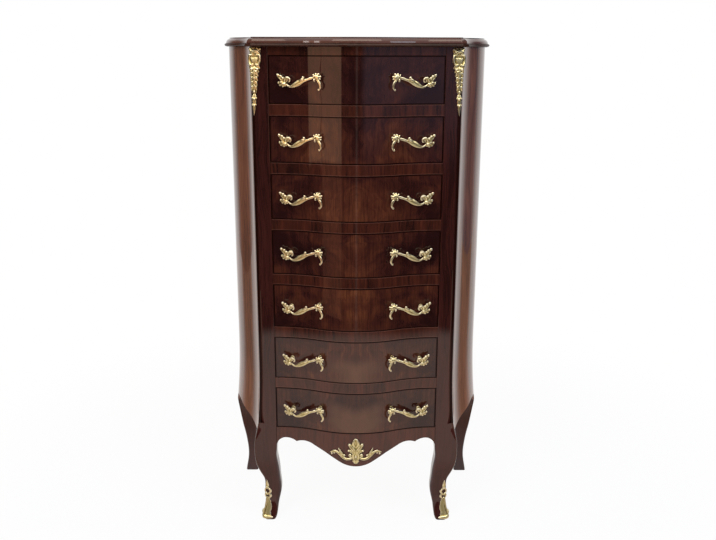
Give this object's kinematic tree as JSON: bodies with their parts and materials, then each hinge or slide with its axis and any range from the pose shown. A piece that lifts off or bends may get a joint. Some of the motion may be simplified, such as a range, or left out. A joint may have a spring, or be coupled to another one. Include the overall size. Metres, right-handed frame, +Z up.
{
  "type": "semainier",
  "caption": "Tall narrow chest of drawers with a serpentine front, swept sides, cabriole legs, a moulded top and gilt rococo mounts.",
  "frame": {"origin": "middle of the footprint's bounding box, on the floor", "axes": "+Z up; the drawers face -Y and pull out along -Y; +X to the viewer's right when facing the drawers"},
  "size_m": [0.662, 0.3449, 1.2],
  "materials": {
    "veneer": "dark red-brown figured veneer under high-gloss polish",
    "inner_wood": "plain pale wood with a thin matt finish",
    "ormolu": "cast brass, gilded and antiqued in the hollows",
    "steel": "plain zinc-plated steel"
  },
  "bodies": {
    "carcass": {"top_board": "veneer", "left_side_panel": "veneer", "right_side_panel": "veneer", "left_front_leg": "veneer", "right_front_leg": "veneer", "left_rear_leg": "veneer", "right_rear_leg": "veneer", "back_panel": "inner_wood", "bottom_board": "inner_wood", "front_apron": "veneer", "bottom_rail": "inner_wood", "top_front_rail": "veneer", "drawer_rails": "veneer", "rear_rails": "inner_wood", "drawer_runners": "inner_wood", "drawer_guides": "inner_wood", "top_kickers": "inner_wood", "drawer_stops": "inner_wood", "left_corner_mount": "ormolu", "right_corner_mount": "ormolu", "apron_mount": "ormolu", "left_sabot": "ormolu", "right_sabot": "ormolu", "mount_pins": "ormolu", "top_screws": "steel"},
    "drawer_1": {"drawer_1_front": "veneer", "drawer_1_box": "inner_wood", "drawer_1_bottom": "inner_wood", "drawer_1_handles": "ormolu", "drawer_1_screws": "steel"},
    "drawer_2": {"drawer_2_front": "veneer", "drawer_2_box": "inner_wood", "drawer_2_bottom": "inner_wood", "drawer_2_handles": "ormolu", "drawer_2_screws": "steel"},
    "drawer_3": {"drawer_3_front": "veneer", "drawer_3_box": "inner_wood", "drawer_3_bottom": "inner_wood", "drawer_3_handles": "ormolu", "drawer_3_screws": "steel"},
    "drawer_4": {"drawer_4_front": "veneer", "drawer_4_box": "inner_wood", "drawer_4_bottom": "inner_wood", "drawer_4_handles": "ormolu", "drawer_4_screws": "steel"},
    "drawer_5": {"drawer_5_front": "veneer", "drawer_5_box": "inner_wood", "drawer_5_bottom": "inner_wood", "drawer_5_handles": "ormolu", "drawer_5_screws": "steel"},
    "drawer_6": {"drawer_6_front": "veneer", "drawer_6_box": "inner_wood", "drawer_6_bottom": "inner_wood", "drawer_6_handles": "ormolu", "drawer_6_screws": "steel"},
    "drawer_7": {"drawer_7_front": "veneer", "drawer_7_box": "inner_wood", "drawer_7_bottom": "inner_wood", "drawer_7_handles": "ormolu", "drawer_7_screws": "steel"}
  },
  "joints": [
    {"name": "drawer_1_slide", "type": "slide", "parent": "carcass", "child": "drawer_1", "axis": [0, -1, 0], "range_m": [0, 0.2]},
    {"name": "drawer_2_slide", "type": "slide", "parent": "carcass", "child": "drawer_2", "axis": [0, -1, 0], "range_m": [0, 0.2]},
    {"name": "drawer_3_slide", "type": "slide", "parent": "carcass", "child": "drawer_3", "axis": [0, -1, 0], "range_m": [0, 0.2]},
    {"name": "drawer_4_slide", "type": "slide", "parent": "carcass", "child": "drawer_4", "axis": [0, -1, 0], "range_m": [0, 0.2]},
    {"name": "drawer_5_slide", "type": "slide", "parent": "carcass", "child": "drawer_5", "axis": [0, -1, 0], "range_m": [0, 0.2]},
    {"name": "drawer_6_slide", "type": "slide", "parent": "carcass", "child": "drawer_6", "axis": [0, -1, 0], "range_m": [0, 0.2]},
    {"name": "drawer_7_slide", "type": "slide", "parent": "carcass", "child": "drawer_7", "axis": [0, -1, 0], "range_m": [0, 0.2]}
  ]
}
